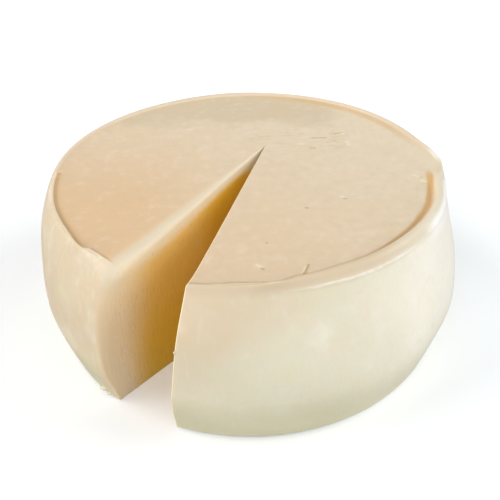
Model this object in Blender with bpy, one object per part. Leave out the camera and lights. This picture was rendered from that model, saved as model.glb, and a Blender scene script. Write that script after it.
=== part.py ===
"""A wheel of minas padrao cheese with one wedge cut out of it, as a single closed solid.

Frame: metres, +Z up. The wheel's axis is Z and it stands on Z = 0. Azimuths are in degrees, counted
anticlockwise from +X. The notch opens between -Y and -X, and its two cuts meet in a leaning line, the
tip, near the axis. The skin is one grid of points swept from one cut to the other: out along the base,
up the side, over the lip and back along the top to the tip. Two cut faces close its ends.
"""

from math import pi

import bmesh
import bpy
import numpy as np

# The wheel
BULGE_RADIUS = 0.0775
FOOT_RADIUS = 0.0719
LIP_RADIUS = 0.0683
LIP_HEIGHT = 0.0609
BULGE_SHARE = 0.36  # share of the height at which the side is widest
LIP_RISE_X = 0.0013  # the lip is this much higher at +X, and lower at -X
LIP_RISE_Y = -0.0010
FOOT_CORNER = 0.0032
SHOULDER_SHARE = 0.90  # share of the height at which the side turns in to the lip

# The side falls in from the bulge as a slope whose start is rounded, in shares of the height
LOWER_ROUNDING = 0.10
UPPER_ROUNDING = 0.20
FULL_SIDE_POWER = 3.0  # on the -X side the wheel stays full almost to the top
FULL_LIP_RADIUS = 0.0708

# The recessed top: (azimuth, radius of the crease) and (azimuth, drop from the lip to the crease)
CREASE = (
    (-129, 0.0690), (-105, 0.0696), (-92, 0.0677), (-84, 0.0680), (-77, 0.0659), (-64, 0.0649),
    (-45, 0.0641), (-20, 0.0645), (-7, 0.0635), (0, 0.0682), (8, 0.0672), (22, 0.0650), (60, 0.0657),
    (110, 0.0660), (180, 0.0692), (200, 0.0692), (214, 0.0668), (224, 0.0670),
)
CREASE_DROP = (
    (-129, 0.0010), (-105, 0.0004), (-84, 0.0005), (-70, 0.0010), (-45, 0.0018), (-6, 0.0019),
    (1, 0.0001), (8, 0.0001), (16, 0.0007), (60, 0.0008), (180, 0.0004),
)
PLATE_DROP = 0.0019  # from the lip to the middle of the top
RIM_POWER = 14.0  # how late the top turns from its middle level to the crease's
STEP_WIDTH = 0.0021
LIP_FLAT = 0.0007
FOLD_AZIMUTH = 5.0  # a fold of the pressing cloth left a swelling on the shoulder here
FOLD_WIDTH = 5.0
FOLD_HEIGHT = 0.0010

# The two cuts meet at these points (x, y) of the base and of the lip's level
TIP_FOOT = (-0.002, -0.006)
TIP_LIP = (0.006, 0.021)

# A cut: its azimuth at the foot, how far that turns up to the lip and how late, and which way the cheese
# lies. Its edge is rounded over a reach along the skin, at the foot, half way up and at the lip, and to
# a depth into the cut face, half way up and at the lip. Fullness 1 makes the rounding tangent at both
# ends, and less leaves a crease where it meets the skin.
RIGHT_CUT = {
    "foot": -109.4, "twist": 4.4, "lateness": 1.0, "side": 1,
    "reach": (0.0006, 0.0006, 0.0006), "depth": (0.0006, 0.0006), "fullness": 1.0,
}
LEFT_CUT = {
    "foot": -129.0, "twist": 5.9, "lateness": 3.5, "side": -1,
    "reach": (0.0062, 0.0003, 0.0047), "depth": (0.0014, 0.0046), "fullness": 0.55,
}
EDGE_CORE = 0.012  # the rounding turns the corner of a cut as a fan about a point this deep inside it

# Mesh steps
PLATE_STEPS = 6
STEP_STEPS = 2
LIP_STEPS = 1
SHOULDER_STEPS = 3
SIDE_STEPS = 9
CORNER_STEPS = 3
SWEEP_STEPS = 84
EDGE_STEPS = 2

FULL_TURN = 360.0


def smooth(share):
    """0 to 1 as share goes from 0 to 1, level at both ends."""
    share = np.clip(share, 0, 1)
    return share * share * (3 - 2 * share)


def around(azimuth, knots):
    """The value at each azimuth: smooth steps from one (azimuth, value) knot to the next, round the wheel."""
    first = knots[0][0]
    places = np.array([place for place, _ in knots] + [first + FULL_TURN], float)
    values = np.array([value for _, value in knots] + [knots[0][1]])
    turned = (np.asarray(azimuth, float) - first) % FULL_TURN + first
    at = np.clip(np.searchsorted(places, turned, side="right") - 1, 0, len(knots) - 1)
    share = smooth((turned - places[at]) / (places[at + 1] - places[at]))
    return values[at] + (values[at + 1] - values[at]) * share


def lip_height(x, y):
    """The height of the slightly sloping plane that the lip lies in."""
    return LIP_HEIGHT + (LIP_RISE_X * x + LIP_RISE_Y * y) / LIP_RADIUS


def lip_height_at(azimuth):
    turn = np.radians(azimuth)
    return lip_height(LIP_RADIUS * np.cos(turn), LIP_RADIUS * np.sin(turn))


def side_radius(share, azimuth):
    """The side's radius at a share of the height: a rounded slope down, another up, fuller towards -X."""
    away = share - BULGE_SHARE
    rounding = np.where(away < 0, LOWER_ROUNDING, UPPER_ROUNDING)
    end = np.where(away < 0, BULGE_SHARE, 1 - BULGE_SHARE)
    fall = np.where(away < 0, BULGE_RADIUS - FOOT_RADIUS, BULGE_RADIUS - LIP_RADIUS)
    fall = fall * (np.hypot(away, rounding) - rounding) / (np.hypot(end, rounding) - rounding)
    full_fall = np.clip(away / (1 - BULGE_SHARE), 0, 1) ** FULL_SIDE_POWER
    full_fall = full_fall * (BULGE_RADIUS - FULL_LIP_RADIUS)
    fullness = smooth(0.5 - 2 * np.cos(np.radians(azimuth))) * (away > 0)
    swelling = np.exp(-(((azimuth + 180) % FULL_TURN - 180 - FOLD_AZIMUTH) / FOLD_WIDTH) ** 2)
    swelling = FOLD_HEIGHT * swelling * smooth((share - BULGE_SHARE) / (SHOULDER_SHARE - BULGE_SHARE))
    return BULGE_RADIUS - fall - (full_fall - fall) * fullness + swelling


def rim_line(azimuth):
    """Radii and heights from the base round the foot, up the side, over the lip and down to the crease."""
    tall = lip_height_at(azimuth)
    corner_share = FOOT_CORNER / tall
    bend = np.linspace(0, pi / 2, CORNER_STEPS + 1)[:, None]
    foot_radius = side_radius(corner_share, azimuth) - FOOT_CORNER * (1 - np.sin(bend))
    foot_height = FOOT_CORNER * (1 - np.cos(bend)) * np.ones_like(tall)
    climb = np.linspace(0, 1, SIDE_STEPS + 1)[1:, None]
    share = corner_share + (SHOULDER_SHARE - corner_share) * climb

    # The side's last tangent meets the lip's level here, and the shoulder is a curve inside that corner
    shoulder_radius = side_radius(SHOULDER_SHARE, azimuth)
    before = SHOULDER_SHARE - 0.01
    lean = (shoulder_radius - side_radius(before, azimuth)) / (SHOULDER_SHARE - before)
    corner_radius = shoulder_radius + lean * (1 - SHOULDER_SHARE)
    crease = around(azimuth, CREASE)
    lip_inside = np.minimum(crease + STEP_WIDTH, corner_radius - LIP_FLAT)
    bend = np.linspace(0, 1, SHOULDER_STEPS + 1)[1:, None]
    weights = ((1 - bend) ** 2, 2 * bend * (1 - bend), bend**2)
    curve_radius = (
        weights[0] * shoulder_radius + weights[1] * corner_radius + weights[2] * (lip_inside + LIP_FLAT)
    )
    curve_height = tall * (weights[0] * SHOULDER_SHARE + weights[1] + weights[2])

    lip_radius = lip_inside + LIP_FLAT * np.linspace(1, 0, LIP_STEPS + 1)[1:, None]
    fall = np.linspace(0, 1, STEP_STEPS + 1)[1:, None]
    step_radius = lip_inside + (crease - lip_inside) * fall
    step_height = tall - around(azimuth, CREASE_DROP) * smooth(fall)
    radius = [foot_radius, side_radius(share, azimuth), curve_radius, lip_radius, step_radius]
    height = [foot_height, share * tall, curve_height, tall * np.ones_like(lip_radius), step_height]
    return np.concatenate(radius), np.concatenate(height)


def cut_azimuth(cut, radius, height, held_back):
    """A cut's azimuth at points of the rim: of its face, or held back to where its rounding starts."""
    share = np.clip(height / LIP_HEIGHT, 0, 1)
    at_foot, half_way, at_lip = cut["reach"]
    reach = half_way + (at_foot - half_way) * (1 - share) ** 3 + (at_lip - half_way) * share**3.5
    turned = cut["foot"] + cut["twist"] * share ** cut["lateness"]
    return turned + cut["side"] * np.degrees(np.arcsin(held_back * reach / radius))


def skin(share, held_back):
    """The grid of the skin at shares of the way from the right cut to the left one, a column for each."""
    first = RIGHT_CUT["foot"] + RIGHT_CUT["twist"]
    last = LEFT_CUT["foot"] + LEFT_CUT["twist"] + FULL_TURN
    azimuth = first + (last - first) * share
    radius, height = rim_line(azimuth)
    start = cut_azimuth(RIGHT_CUT, radius, height, held_back)
    end = cut_azimuth(LEFT_CUT, radius, height, held_back) + FULL_TURN
    turn = np.radians(start + (end - start) * share)
    rim = np.stack([radius * np.cos(turn), radius * np.sin(turn), height], axis=-1)

    # The middle of the top spreads from the tip to the crease, densest near the crease
    out = 1 - (1 - np.linspace(0, 1, PLATE_STEPS + 1)[:, None]) ** 2
    x = TIP_LIP[0] + out * (rim[-1, :, 0] - TIP_LIP[0])
    y = TIP_LIP[1] + out * (rim[-1, :, 1] - TIP_LIP[1])
    drop = PLATE_DROP + (around(azimuth, CREASE_DROP) - PLATE_DROP) * out**RIM_POWER
    plate = np.stack([x, y, lip_height(x, y) - drop], axis=-1)

    # The base spreads from its own tip with the spacing of the whole top
    over = rim[CORNER_STEPS + SIDE_STEPS : -1]
    reached = np.concatenate([over, plate[::-1]])[::-1, :1, :2] - np.array(TIP_LIP)
    spread = np.linalg.norm(reached, axis=-1, keepdims=True)
    tip = np.array([*TIP_FOOT, 0.0])
    base = tip + spread / spread.max() * (rim[0] - tip)
    return np.concatenate([base, rim[1:-1], plate[::-1]])


def filled(base, side, top):
    """A grid of points between four edges, the fourth being the straight line of the tip."""
    across = np.linspace(0, 1, len(base))[None, :, None]
    up = np.linspace(0, 1, len(side))[:, None, None]
    tip = base[0] + up * (top[0] - base[0])
    between = (1 - up) * base + up * top + (1 - across) * tip + across * side[:, None]
    corners = (1 - up) * ((1 - across) * base[0] + across * base[-1])
    corners = corners + up * ((1 - across) * top[0] + across * top[-1])
    return between - corners


def cut_patches(cut, share, end):
    """Grids of points for one cut: the rounded edge from the skin's end, and the face inside it."""
    outline = skin(np.array([share]), 0.0)[:, 0]
    height = outline[:, 2:]
    section = np.concatenate([np.linalg.norm(outline[:, :2], axis=-1, keepdims=True), height], axis=-1)
    inwards = np.minimum(section, section.max(axis=0) - EDGE_CORE) - section
    inwards /= np.maximum(np.linalg.norm(inwards, axis=1, keepdims=True), 1e-9)

    # The rounding is deepest at the rim and narrows to nothing at the tip
    across = PLATE_STEPS + STEP_STEPS + LIP_STEPS + SHOULDER_STEPS
    up = np.clip(height / height[-1], 0, 1)
    away = outline[:, :2] - (1 - up) * np.array(TIP_FOOT) - up * np.array(TIP_LIP)
    distance = np.linalg.norm(away, axis=-1, keepdims=True)
    to_rim = distance[across] + (distance[-across - 1] - distance[across]) * up
    half_way, at_lip = cut["depth"]
    depth = half_way + (at_lip - half_way) * np.clip(height / LIP_HEIGHT, 0, 1) ** 3
    depth = depth * smooth(height / FOOT_CORNER) * distance / to_rim
    sideways = away / np.maximum(distance, 1e-9) * inwards[:, :1]
    inner = outline + depth * np.concatenate([sideways, inwards[:, 1:]], axis=-1)
    corner = inner + (outline - inner) * cut["fullness"]
    bend = np.linspace(0, 1, EDGE_STEPS + 1)[:, None, None]
    edge = (1 - bend) ** 2 * end + 2 * bend * (1 - bend) * corner + bend**2 * inner
    face = filled(inner[: across + 1], inner[across:-across], inner[-across - 1 :][::-1])
    return edge, face


def add_grid(mesh, points, flipped):
    """Adds a grid of points to the mesh, with quads between its neighbours."""
    rows, columns = points.shape[:2]
    corners = [mesh.verts.new(point) for point in points.reshape(-1, 3)]
    for row in range(rows - 1):
        for column in range(columns - 1):
            first = row * columns + column
            quad = [first, first + 1, first + columns + 1, first + columns]
            if flipped:
                quad.reverse()
            mesh.faces.new([corners[corner] for corner in quad])


def make_wheel():
    """The whole wheel: the skin, and the rounded edge and the face of each cut, welded where they meet."""
    whole = skin(np.linspace(0, 1, SWEEP_STEPS + 1), 1.0)
    mesh = bmesh.new()
    add_grid(mesh, whole, False)
    for cut, column in ((RIGHT_CUT, 0), (LEFT_CUT, -1)):
        edge, face = cut_patches(cut, -column, whole[:, column])
        add_grid(mesh, edge, column == 0)
        add_grid(mesh, face, column == 0)
    bmesh.ops.remove_doubles(mesh, verts=mesh.verts, dist=1e-6)
    bmesh.ops.dissolve_degenerate(mesh, edges=mesh.edges, dist=1e-7)
    bmesh.ops.recalc_face_normals(mesh, faces=mesh.faces)
    data = bpy.data.meshes.new("cheese_wheel")
    mesh.to_mesh(data)
    mesh.free()
    data.shade_smooth()
    data.set_sharp_from_angle(angle=np.radians(40))
    wheel = bpy.data.objects.new("cheese_wheel", data)
    bpy.context.scene.collection.objects.link(wheel)
    return wheel


def paint_cheese(wheel):
    """One pale ivory, slightly glossy material."""
    paste = bpy.data.materials.new("cheese")
    paste.use_nodes = True
    shader = paste.node_tree.nodes["Principled BSDF"]
    shader.inputs["Base Color"].default_value = (0.80, 0.70, 0.50, 1.0)
    shader.inputs["Roughness"].default_value = 0.45
    shader.inputs["Metallic"].default_value = 0.0
    paste.diffuse_color = (0.80, 0.70, 0.50, 1.0)
    wheel.data.materials.append(paste)


for old in list(bpy.data.objects):
    bpy.data.objects.remove(old, do_unlink=True)
paint_cheese(make_wheel())
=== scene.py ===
# %% [markdown]
# # A wheel of minas padrao cheese
# This lesson dresses a finished CAD model for its portrait. The cheese is a low drum, pressed in a mould
# lined with cloth, with one deep notch cut into it. A detailed skin is then made in its place.
# %% Load the wheel
from math import pi

import bmesh
import bpy
import numpy as np
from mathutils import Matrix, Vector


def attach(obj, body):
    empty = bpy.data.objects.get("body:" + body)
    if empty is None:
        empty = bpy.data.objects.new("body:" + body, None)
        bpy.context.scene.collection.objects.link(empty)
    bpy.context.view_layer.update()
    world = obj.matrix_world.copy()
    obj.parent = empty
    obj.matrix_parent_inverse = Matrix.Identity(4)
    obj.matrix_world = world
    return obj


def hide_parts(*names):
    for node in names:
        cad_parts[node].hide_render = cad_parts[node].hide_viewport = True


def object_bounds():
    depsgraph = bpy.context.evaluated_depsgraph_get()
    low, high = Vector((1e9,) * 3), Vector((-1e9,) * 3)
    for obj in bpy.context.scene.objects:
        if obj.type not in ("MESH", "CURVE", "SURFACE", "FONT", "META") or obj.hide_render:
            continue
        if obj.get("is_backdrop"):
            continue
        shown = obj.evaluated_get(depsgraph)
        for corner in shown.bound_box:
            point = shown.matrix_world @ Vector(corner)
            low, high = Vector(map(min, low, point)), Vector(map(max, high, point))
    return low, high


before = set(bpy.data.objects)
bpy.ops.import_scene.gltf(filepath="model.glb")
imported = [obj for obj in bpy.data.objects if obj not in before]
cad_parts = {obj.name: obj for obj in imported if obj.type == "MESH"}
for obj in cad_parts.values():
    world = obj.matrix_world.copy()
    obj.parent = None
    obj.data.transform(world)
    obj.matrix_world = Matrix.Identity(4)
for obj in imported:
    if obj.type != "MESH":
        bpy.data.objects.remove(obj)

cad_low, cad_high = (list(corner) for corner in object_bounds())
cad_size = [round(1000 * (high - low), 1) for low, high in zip(cad_low, cad_high)]
print("The CAD wheel measures, in mm:", cad_size)

# %% [markdown]
# ## The sizes of the wheel
# A pressed cheese is not a cylinder. Its side swells where the weight of the curd pushed it out, pulls in
# to a narrower foot, and slopes in further towards the lip. The mould's follower pressed the middle of the
# top a little below the lip. The outer sizes are the CAD's own, so the skin stays where the CAD solid is;
# the crease, its step and the cuts are refined by up to 2 mm. Each list pairs an azimuth in degrees, counted
# anticlockwise from +X, with a value there.
# %% The side, the lip and the recessed top
BULGE_RADIUS = 0.0775
FOOT_RADIUS = 0.0719
LIP_RADIUS = 0.0683
LIP_HEIGHT = 0.0609
BULGE_SHARE = 0.36  # share of the height at which the side is widest
LIP_RISE_X = 0.0013  # the lip is this much higher at +X, and lower at -X
LIP_RISE_Y = -0.0010
LIP_SAG = 0.0012  # the lip and the top sag this much towards SAG_AZIMUTH
SAG_AZIMUTH = -145.0
SAG_POWER = 6  # how late on the way there the sag sets in
FOOT_CORNER = 0.0024
SHOULDER_SHARE = 0.90  # share of the height at which the side turns in to the lip
LOWER_ROUNDING = 0.10
UPPER_ROUNDING = 0.20
FULL_SIDE_POWER = 3.0  # on the -X side the wheel stays full almost to the top
FULL_SIDE_EDGE = 0.25  # that side sets in between this cosine of the azimuth and minus this
FULL_LIP_RADIUS = 0.0708
CREASE = (
    (-129, 0.0690), (-105, 0.0696), (-92, 0.0677), (-84, 0.0680), (-77, 0.0659), (-64, 0.0649),
    (-45, 0.0641), (-20, 0.0645), (-7, 0.0635), (0, 0.0682), (8, 0.0672), (22, 0.0650), (60, 0.0657),
    (110, 0.0660), (180, 0.0692), (200, 0.0693), (216, 0.0689), (229, 0.0699),
)
CREASE_DROP = (
    (-129, 0.0001), (-105, 0.0004), (-84, 0.0005), (-70, 0.0010), (-45, 0.0018), (-12, 0.0019),
    (-2, 0.0002), (8, 0.0002), (16, 0.0007), (60, 0.0008), (180, 0.0005), (226.5, 0.0010),
)
PLATE_DROP = 0.0019  # from the lip to the middle of the top
RIM_POWER = 14.0  # how late the top turns from its middle level to the crease's
STEP_WIDTH = (
    (-129, 0.0008), (-105, 0.0007), (-70, 0.0008), (-45, 0.0018), (-10, 0.0021), (8, 0.0012),
    (60, 0.0010), (180, 0.0008),
)
LIP_FLAT = 0.0007
FOLD_AZIMUTH = 5.0  # a fold of the pressing cloth left a swelling on the shoulder here
FOLD_WIDTH = 5.0
FOLD_HEIGHT = 0.0010
FULL_TURN = 360.0
print("Height over width:", round(LIP_HEIGHT / (2 * BULGE_RADIUS), 3))

# %% [markdown]
# ## The sizes of the notch
# The notch lies between two cuts, which meet in a leaning line near the wheel's axis. The right cut is
# crisp. The left one was handled while the paste was soft, so its upper edge is rounded over.
# %% The two cuts
TIP_FOOT = (-0.002, -0.006)  # x and y of the place where the cuts meet, on the base
TIP_LIP = (0.006, 0.021)  # and at the lip's level
# A cut turns by its twist on the way up, the later the higher its lateness; side is 1 where the cheese
# lies anticlockwise of it. Its edge is rounded over a reach along the side, at foot, half way and lip,
# and over a depth into the face, half way and at the lip. Less fullness than 1 takes off the corner.
RIGHT_CUT = {
    "foot": -109.8, "twist": 4.8, "lateness": 1.25, "side": 1,
    "reach": (0.0006, 0.0006, 0.0006), "depth": (0.0006, 0.0006), "fullness": (1.0, 1.0),
}
LEFT_CUT = {
    "foot": -129.0, "twist": 4.1, "lateness": 3.5, "side": -1,
    "reach": (0.0062, 0.0008, 0.0082), "depth": (0.0012, 0.0050), "fullness": (1.0, 0.8),
}
EDGE_CORE = 0.012  # an edge's rounding turns the wheel's corners as a fan about a point this deep inside
EDGE_SOFTENING = 1.5  # lips and steps vanish into a rounding as deep as they are long, or so
print("The notch is open over", round(RIGHT_CUT["foot"] - LEFT_CUT["foot"], 1), "degrees of the foot")

# %% [markdown]
# ## Fine steps
# A subdivision surface would round off the crisp crease of the top, so the grid is simply made fine. The
# counts below keep the whole skin under 200,000 triangles.
# %% Count the steps
PLATE_STEPS = 60
STEP_STEPS = 6
LIP_STEPS = 3
SHOULDER_STEPS = 10
SIDE_STEPS = 44
CORNER_STEPS = 6
SWEEP_STEPS = 400
EDGE_STEPS = 12
TOP_ROWS = PLATE_STEPS + STEP_STEPS + LIP_STEPS
SIDE_ROWS = CORNER_STEPS + SIDE_STEPS + SHOULDER_STEPS
print("Rows across the top:", TOP_ROWS, "and up the side:", SIDE_ROWS)

# %% [markdown]
# ## Curves round the wheel
# A hand-made cheese differs a little at every angle. `around` reads a list of knots and blends smoothly
# from one to the next, which is how all those differences are written down.


# %% Helpers for curves
def smooth(share):
    """0 to 1 as share goes from 0 to 1, level at both ends: three squares less two cubes."""
    share = np.clip(share, 0, 1)
    return share * share * (3 - 2 * share)


def around(azimuth, knots):
    """The value at each azimuth: smooth steps from one (azimuth, value) knot to the next, round the wheel."""
    first = knots[0][0]
    places = np.array([place for place, _ in knots] + [first + FULL_TURN], float)
    values = np.array([value for _, value in knots] + [knots[0][1]])
    turned = (np.asarray(azimuth, float) - first) % FULL_TURN + first
    at = np.clip(np.searchsorted(places, turned, side="right") - 1, 0, len(knots) - 1)
    share = smooth((turned - places[at]) / (places[at + 1] - places[at]))
    return values[at] + (values[at + 1] - values[at]) * share


def lip_height(x, y):
    """The height of the slightly sloping plane that the lip lies in, less a sag towards one azimuth: a high
    power of the share of the way there."""
    turn = np.radians(SAG_AZIMUTH)
    way_there = np.clip((x * np.cos(turn) + y * np.sin(turn)) / LIP_RADIUS, 0, 1)
    return LIP_HEIGHT + (LIP_RISE_X * x + LIP_RISE_Y * y) / LIP_RADIUS - LIP_SAG * way_there**SAG_POWER


print("The crease is", round(1000 * float(around(-45, CREASE)), 1), "mm from the axis at the front right")


# %% [markdown]
# ## The outline of the side
# Seen from the side, the cheese is two slopes that meet in a soft bend at the bulge. A hyperbola gives such
# a bend: it is straight far away and round near its middle. Towards -X the wheel slumped and stays full.
# %% The side's radius
def side_radius(share, azimuth):
    """The side's radius at a share of the height: a hyperbola down from the bulge, another up, and fuller
    towards -X; a fold's swelling is a bell curve of the azimuth."""
    away = share - BULGE_SHARE
    rounding = np.where(away < 0, LOWER_ROUNDING, UPPER_ROUNDING)
    end = np.where(away < 0, BULGE_SHARE, 1 - BULGE_SHARE)
    fall = np.where(away < 0, BULGE_RADIUS - FOOT_RADIUS, BULGE_RADIUS - LIP_RADIUS)
    fall = fall * (np.hypot(away, rounding) - rounding) / (np.hypot(end, rounding) - rounding)
    full_fall = np.clip(away / (1 - BULGE_SHARE), 0, 1) ** FULL_SIDE_POWER
    full_fall = full_fall * (BULGE_RADIUS - FULL_LIP_RADIUS)
    fullness = smooth((FULL_SIDE_EDGE - np.cos(np.radians(azimuth))) / (2 * FULL_SIDE_EDGE)) * (away > 0)
    swelling = np.exp(-(((azimuth + 180) % FULL_TURN - 180 - FOLD_AZIMUTH) / FOLD_WIDTH) ** 2)
    swelling = FOLD_HEIGHT * swelling * smooth((share - BULGE_SHARE) / (SHOULDER_SHARE - BULGE_SHARE))
    return BULGE_RADIUS - fall - (full_fall - fall) * fullness + swelling


radii = [round(float(side_radius(share, -60.0)), 4) for share in (0, BULGE_SHARE, 1)]
print("Radii at foot, bulge and lip:", radii)


# %% [markdown]
# ## The rim, from the base to the crease
# The rim is one profile: a quarter circle round the foot, the side, a shoulder that turns in to the lip, the
# narrow flat lip and the step down to the crease. It is worked out for all azimuths at once.
# %% The rim's profile
SLOPE_STEP = 0.01  # share of the height over which the side's slope is measured


def rim_line(azimuth):
    """Radii and heights from the base round the foot, up the side, over the lip and down to the crease. The
    foot is a quarter circle, the shoulder a quadratic Bezier curve, the step a smooth fall."""
    turn = np.radians(azimuth)
    tall = lip_height(LIP_RADIUS * np.cos(turn), LIP_RADIUS * np.sin(turn))
    corner_share = FOOT_CORNER / tall
    bend = np.linspace(0, pi / 2, CORNER_STEPS + 1)[:, None]
    foot_radius = side_radius(corner_share, azimuth) - FOOT_CORNER * (1 - np.sin(bend))
    foot_height = FOOT_CORNER * (1 - np.cos(bend)) * np.ones_like(tall)
    climb = np.linspace(0, 1, SIDE_STEPS + 1)[1:, None]
    share = corner_share + (SHOULDER_SHARE - corner_share) * climb

    # The side's last tangent meets the lip's level here, and the shoulder is a curve inside that corner
    shoulder_radius = side_radius(SHOULDER_SHARE, azimuth)
    before = SHOULDER_SHARE - SLOPE_STEP
    lean = (shoulder_radius - side_radius(before, azimuth)) / (SHOULDER_SHARE - before)
    corner_radius = shoulder_radius + lean * (1 - SHOULDER_SHARE)
    crease = around(azimuth, CREASE)
    lip_inside = np.minimum(crease + around(azimuth, STEP_WIDTH), corner_radius - LIP_FLAT)
    bend = np.linspace(0, 1, SHOULDER_STEPS + 1)[1:, None]
    weights = ((1 - bend) ** 2, 2 * bend * (1 - bend), bend**2)
    curve_radius = (
        weights[0] * shoulder_radius + weights[1] * corner_radius + weights[2] * (lip_inside + LIP_FLAT)
    )
    curve_height = tall * (weights[0] * SHOULDER_SHARE + weights[1] + weights[2])

    lip_radius = lip_inside + LIP_FLAT * np.linspace(1, 0, LIP_STEPS + 1)[1:, None]
    fall = np.linspace(0, 1, STEP_STEPS + 1)[1:, None]
    step_radius = lip_inside + (crease - lip_inside) * fall
    step_height = tall - around(azimuth, CREASE_DROP) * smooth(fall)
    radius = [foot_radius, side_radius(share, azimuth), curve_radius, lip_radius, step_radius]
    height = [foot_height, share * tall, curve_height, tall * np.ones_like(lip_radius), step_height]
    return np.concatenate(radius), np.concatenate(height)


print("The rim's profile has", len(rim_line(np.array([0.0]))[0]), "points")


# %% [markdown]
# ## The skin
# The skin ends at the cuts, where the rounding of their edges starts. No knife goes quite straight down,
# and the left edge is rounded most at the lip and the foot, so the azimuth of an end changes with the
# height.
# %% Find the ends of the skin
GRADUALLY = 3  # powers of a share of the height, for what changes over much of the way to foot or lip
NEAR_THE_END = 6  # and for what changes only near its end


def cut_azimuth(cut, radius, height, held_back):
    """A cut's azimuth at points of the rim: that of its face, or held back to where its rounding starts. The
    rounding's reach is its half-way value, blended to those at foot and lip by powers of the height."""
    share = np.clip(height / LIP_HEIGHT, 0, 1)
    at_foot, half_way, at_lip = cut["reach"]
    reach = half_way + (at_foot - half_way) * (1 - share) ** GRADUALLY
    reach = reach + (at_lip - half_way) * share**NEAR_THE_END
    turned = cut["foot"] + cut["twist"] * share ** cut["lateness"]
    return turned + cut["side"] * np.degrees(np.arcsin(held_back * reach / radius))


skin_end = cut_azimuth(LEFT_CUT, BULGE_RADIUS, BULGE_SHARE * LIP_HEIGHT, 1.0)
print("At the bulge the skin ends at the azimuth", round(float(skin_end), 1))

# %% [markdown]
# The skin is swept from the right cut round to the left one. Every column starts at the tip on the base,
# runs out to the rim, up and over it, and back in to the tip on the top. One grid is both smooth and
# closed at its two poles, which separate discs for the top and the base would not be.
# %% Sweep the skin
PLATE_SPREAD = 1.35  # above 1, the rows of the top crowd towards the crease


def skin(share, held_back):
    """The grid of the skin at shares of the way from the right cut to the left one, a column for each: rows
    spread from the tip to the rim line, follow it, and draw in to the tip again."""
    first = RIGHT_CUT["foot"] + RIGHT_CUT["twist"]
    last = LEFT_CUT["foot"] + LEFT_CUT["twist"] + FULL_TURN
    azimuth = first + (last - first) * share
    radius, height = rim_line(azimuth)
    start = cut_azimuth(RIGHT_CUT, radius, height, held_back)
    end = cut_azimuth(LEFT_CUT, radius, height, held_back) + FULL_TURN
    turn = np.radians(start + (end - start) * share)
    rim = np.stack([radius * np.cos(turn), radius * np.sin(turn), height], axis=-1)

    # The middle of the top spreads from the tip to the crease, densest near the crease
    out = 1 - (1 - np.linspace(0, 1, PLATE_STEPS + 1)[:, None]) ** PLATE_SPREAD
    x = TIP_LIP[0] + out * (rim[-1, :, 0] - TIP_LIP[0])
    y = TIP_LIP[1] + out * (rim[-1, :, 1] - TIP_LIP[1])
    drop = PLATE_DROP + (around(azimuth, CREASE_DROP) - PLATE_DROP) * out**RIM_POWER
    plate = np.stack([x, y, lip_height(x, y) - drop], axis=-1)

    # The base spreads from its own tip with the spacing of the whole top
    over = rim[SIDE_ROWS:-1]
    reached = np.concatenate([over, plate[::-1]])[::-1, :1, :2] - np.array(TIP_LIP)
    spread = np.linalg.norm(reached, axis=-1, keepdims=True)
    tip = np.array([*TIP_FOOT, 0.0])
    base = tip + spread / spread.max() * (rim[0] - tip)
    return np.concatenate([base, rim[1:-1], plate[::-1]])


whole_skin = skin(np.linspace(0, 1, SWEEP_STEPS + 1), 1.0)
print("The skin's grid:", whole_skin.shape[:2], "points")


# %% [markdown]
# ## The cut faces
# A knife leaves a nearly flat face, and this one twists a little. Each face fills the space between four
# edges: the base, the side, the top and the straight line of the tip. A Coons patch does that without any
# inner points to place by hand.
# %% Fill the space between four edges
def filled(base, side, top):
    """A Coons patch between four edges, the fourth being the straight line of the tip: the sum of the two
    blends between facing edges, less the blend of the four corners."""
    across = np.linspace(0, 1, len(base))[None, :, None]
    up = np.linspace(0, 1, len(side))[:, None, None]
    tip = base[0] + up * (top[0] - base[0])
    between = (1 - up) * base + up * top + (1 - across) * tip + across * side[:, None]
    corners = (1 - up) * ((1 - across) * base[0] + across * base[-1])
    corners = corners + up * ((1 - across) * top[0] + across * top[-1])
    return between - corners


print("A face is filled between its base, its side, its top and the line of the tip")

# %% [markdown]
# A corner of the wheel fades out in the rounding of a cut, so the lines there are softened. A bell curve of
# the length between two points is the simplest weight that leaves no new corners.
# %% Soften a line
SHORTEST_REACH = 1e-5
SMALLEST_WEIGHT = 1e-6
NORMAL_REACH = 0.004


def softened(values, line, reach):
    """Values along a line, without their changes over less than a reach, which is given for each point: every
    value becomes the average of its neighbours, weighted by a bell curve of the length between them."""
    steps = np.linalg.norm(np.diff(line, axis=0), axis=1)
    length = np.concatenate([[0], np.cumsum(steps)])
    apart = (length[:, None] - length[None]) / np.maximum(reach, SHORTEST_REACH)
    weight = np.exp(-(apart**2)) * np.maximum(np.gradient(length), SMALLEST_WEIGHT)
    return (weight @ values) / weight.sum(axis=1, keepdims=True)


def border_normals(face, outline):
    """The face's normals at its base, side and top border, in the outline's order: the cross product of the
    directions along its rows and its columns, softened because it fades out in a rounded corner."""
    normal = np.cross(np.gradient(face, axis=0), np.gradient(face, axis=1))
    normal = np.concatenate([normal[0], normal[1:, -1], normal[-1, :-1][::-1]])
    normal = softened(normal, outline, NORMAL_REACH)
    return normal / np.linalg.norm(normal, axis=-1, keepdims=True)


print("A line is softened over", 1000 * NORMAL_REACH, "mm for its normals")


# %% [markdown]
# Between the skin and the face runs a narrow patch for the rounded edge. It leaves the skin's end, heads for
# the corner that a sharp edge would have, and arrives along the face, as a quadratic Bezier curve does.
# %% Round the edges of the cuts
TINY = 1e-9  # keeps a length of 0 from being divided by


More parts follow.
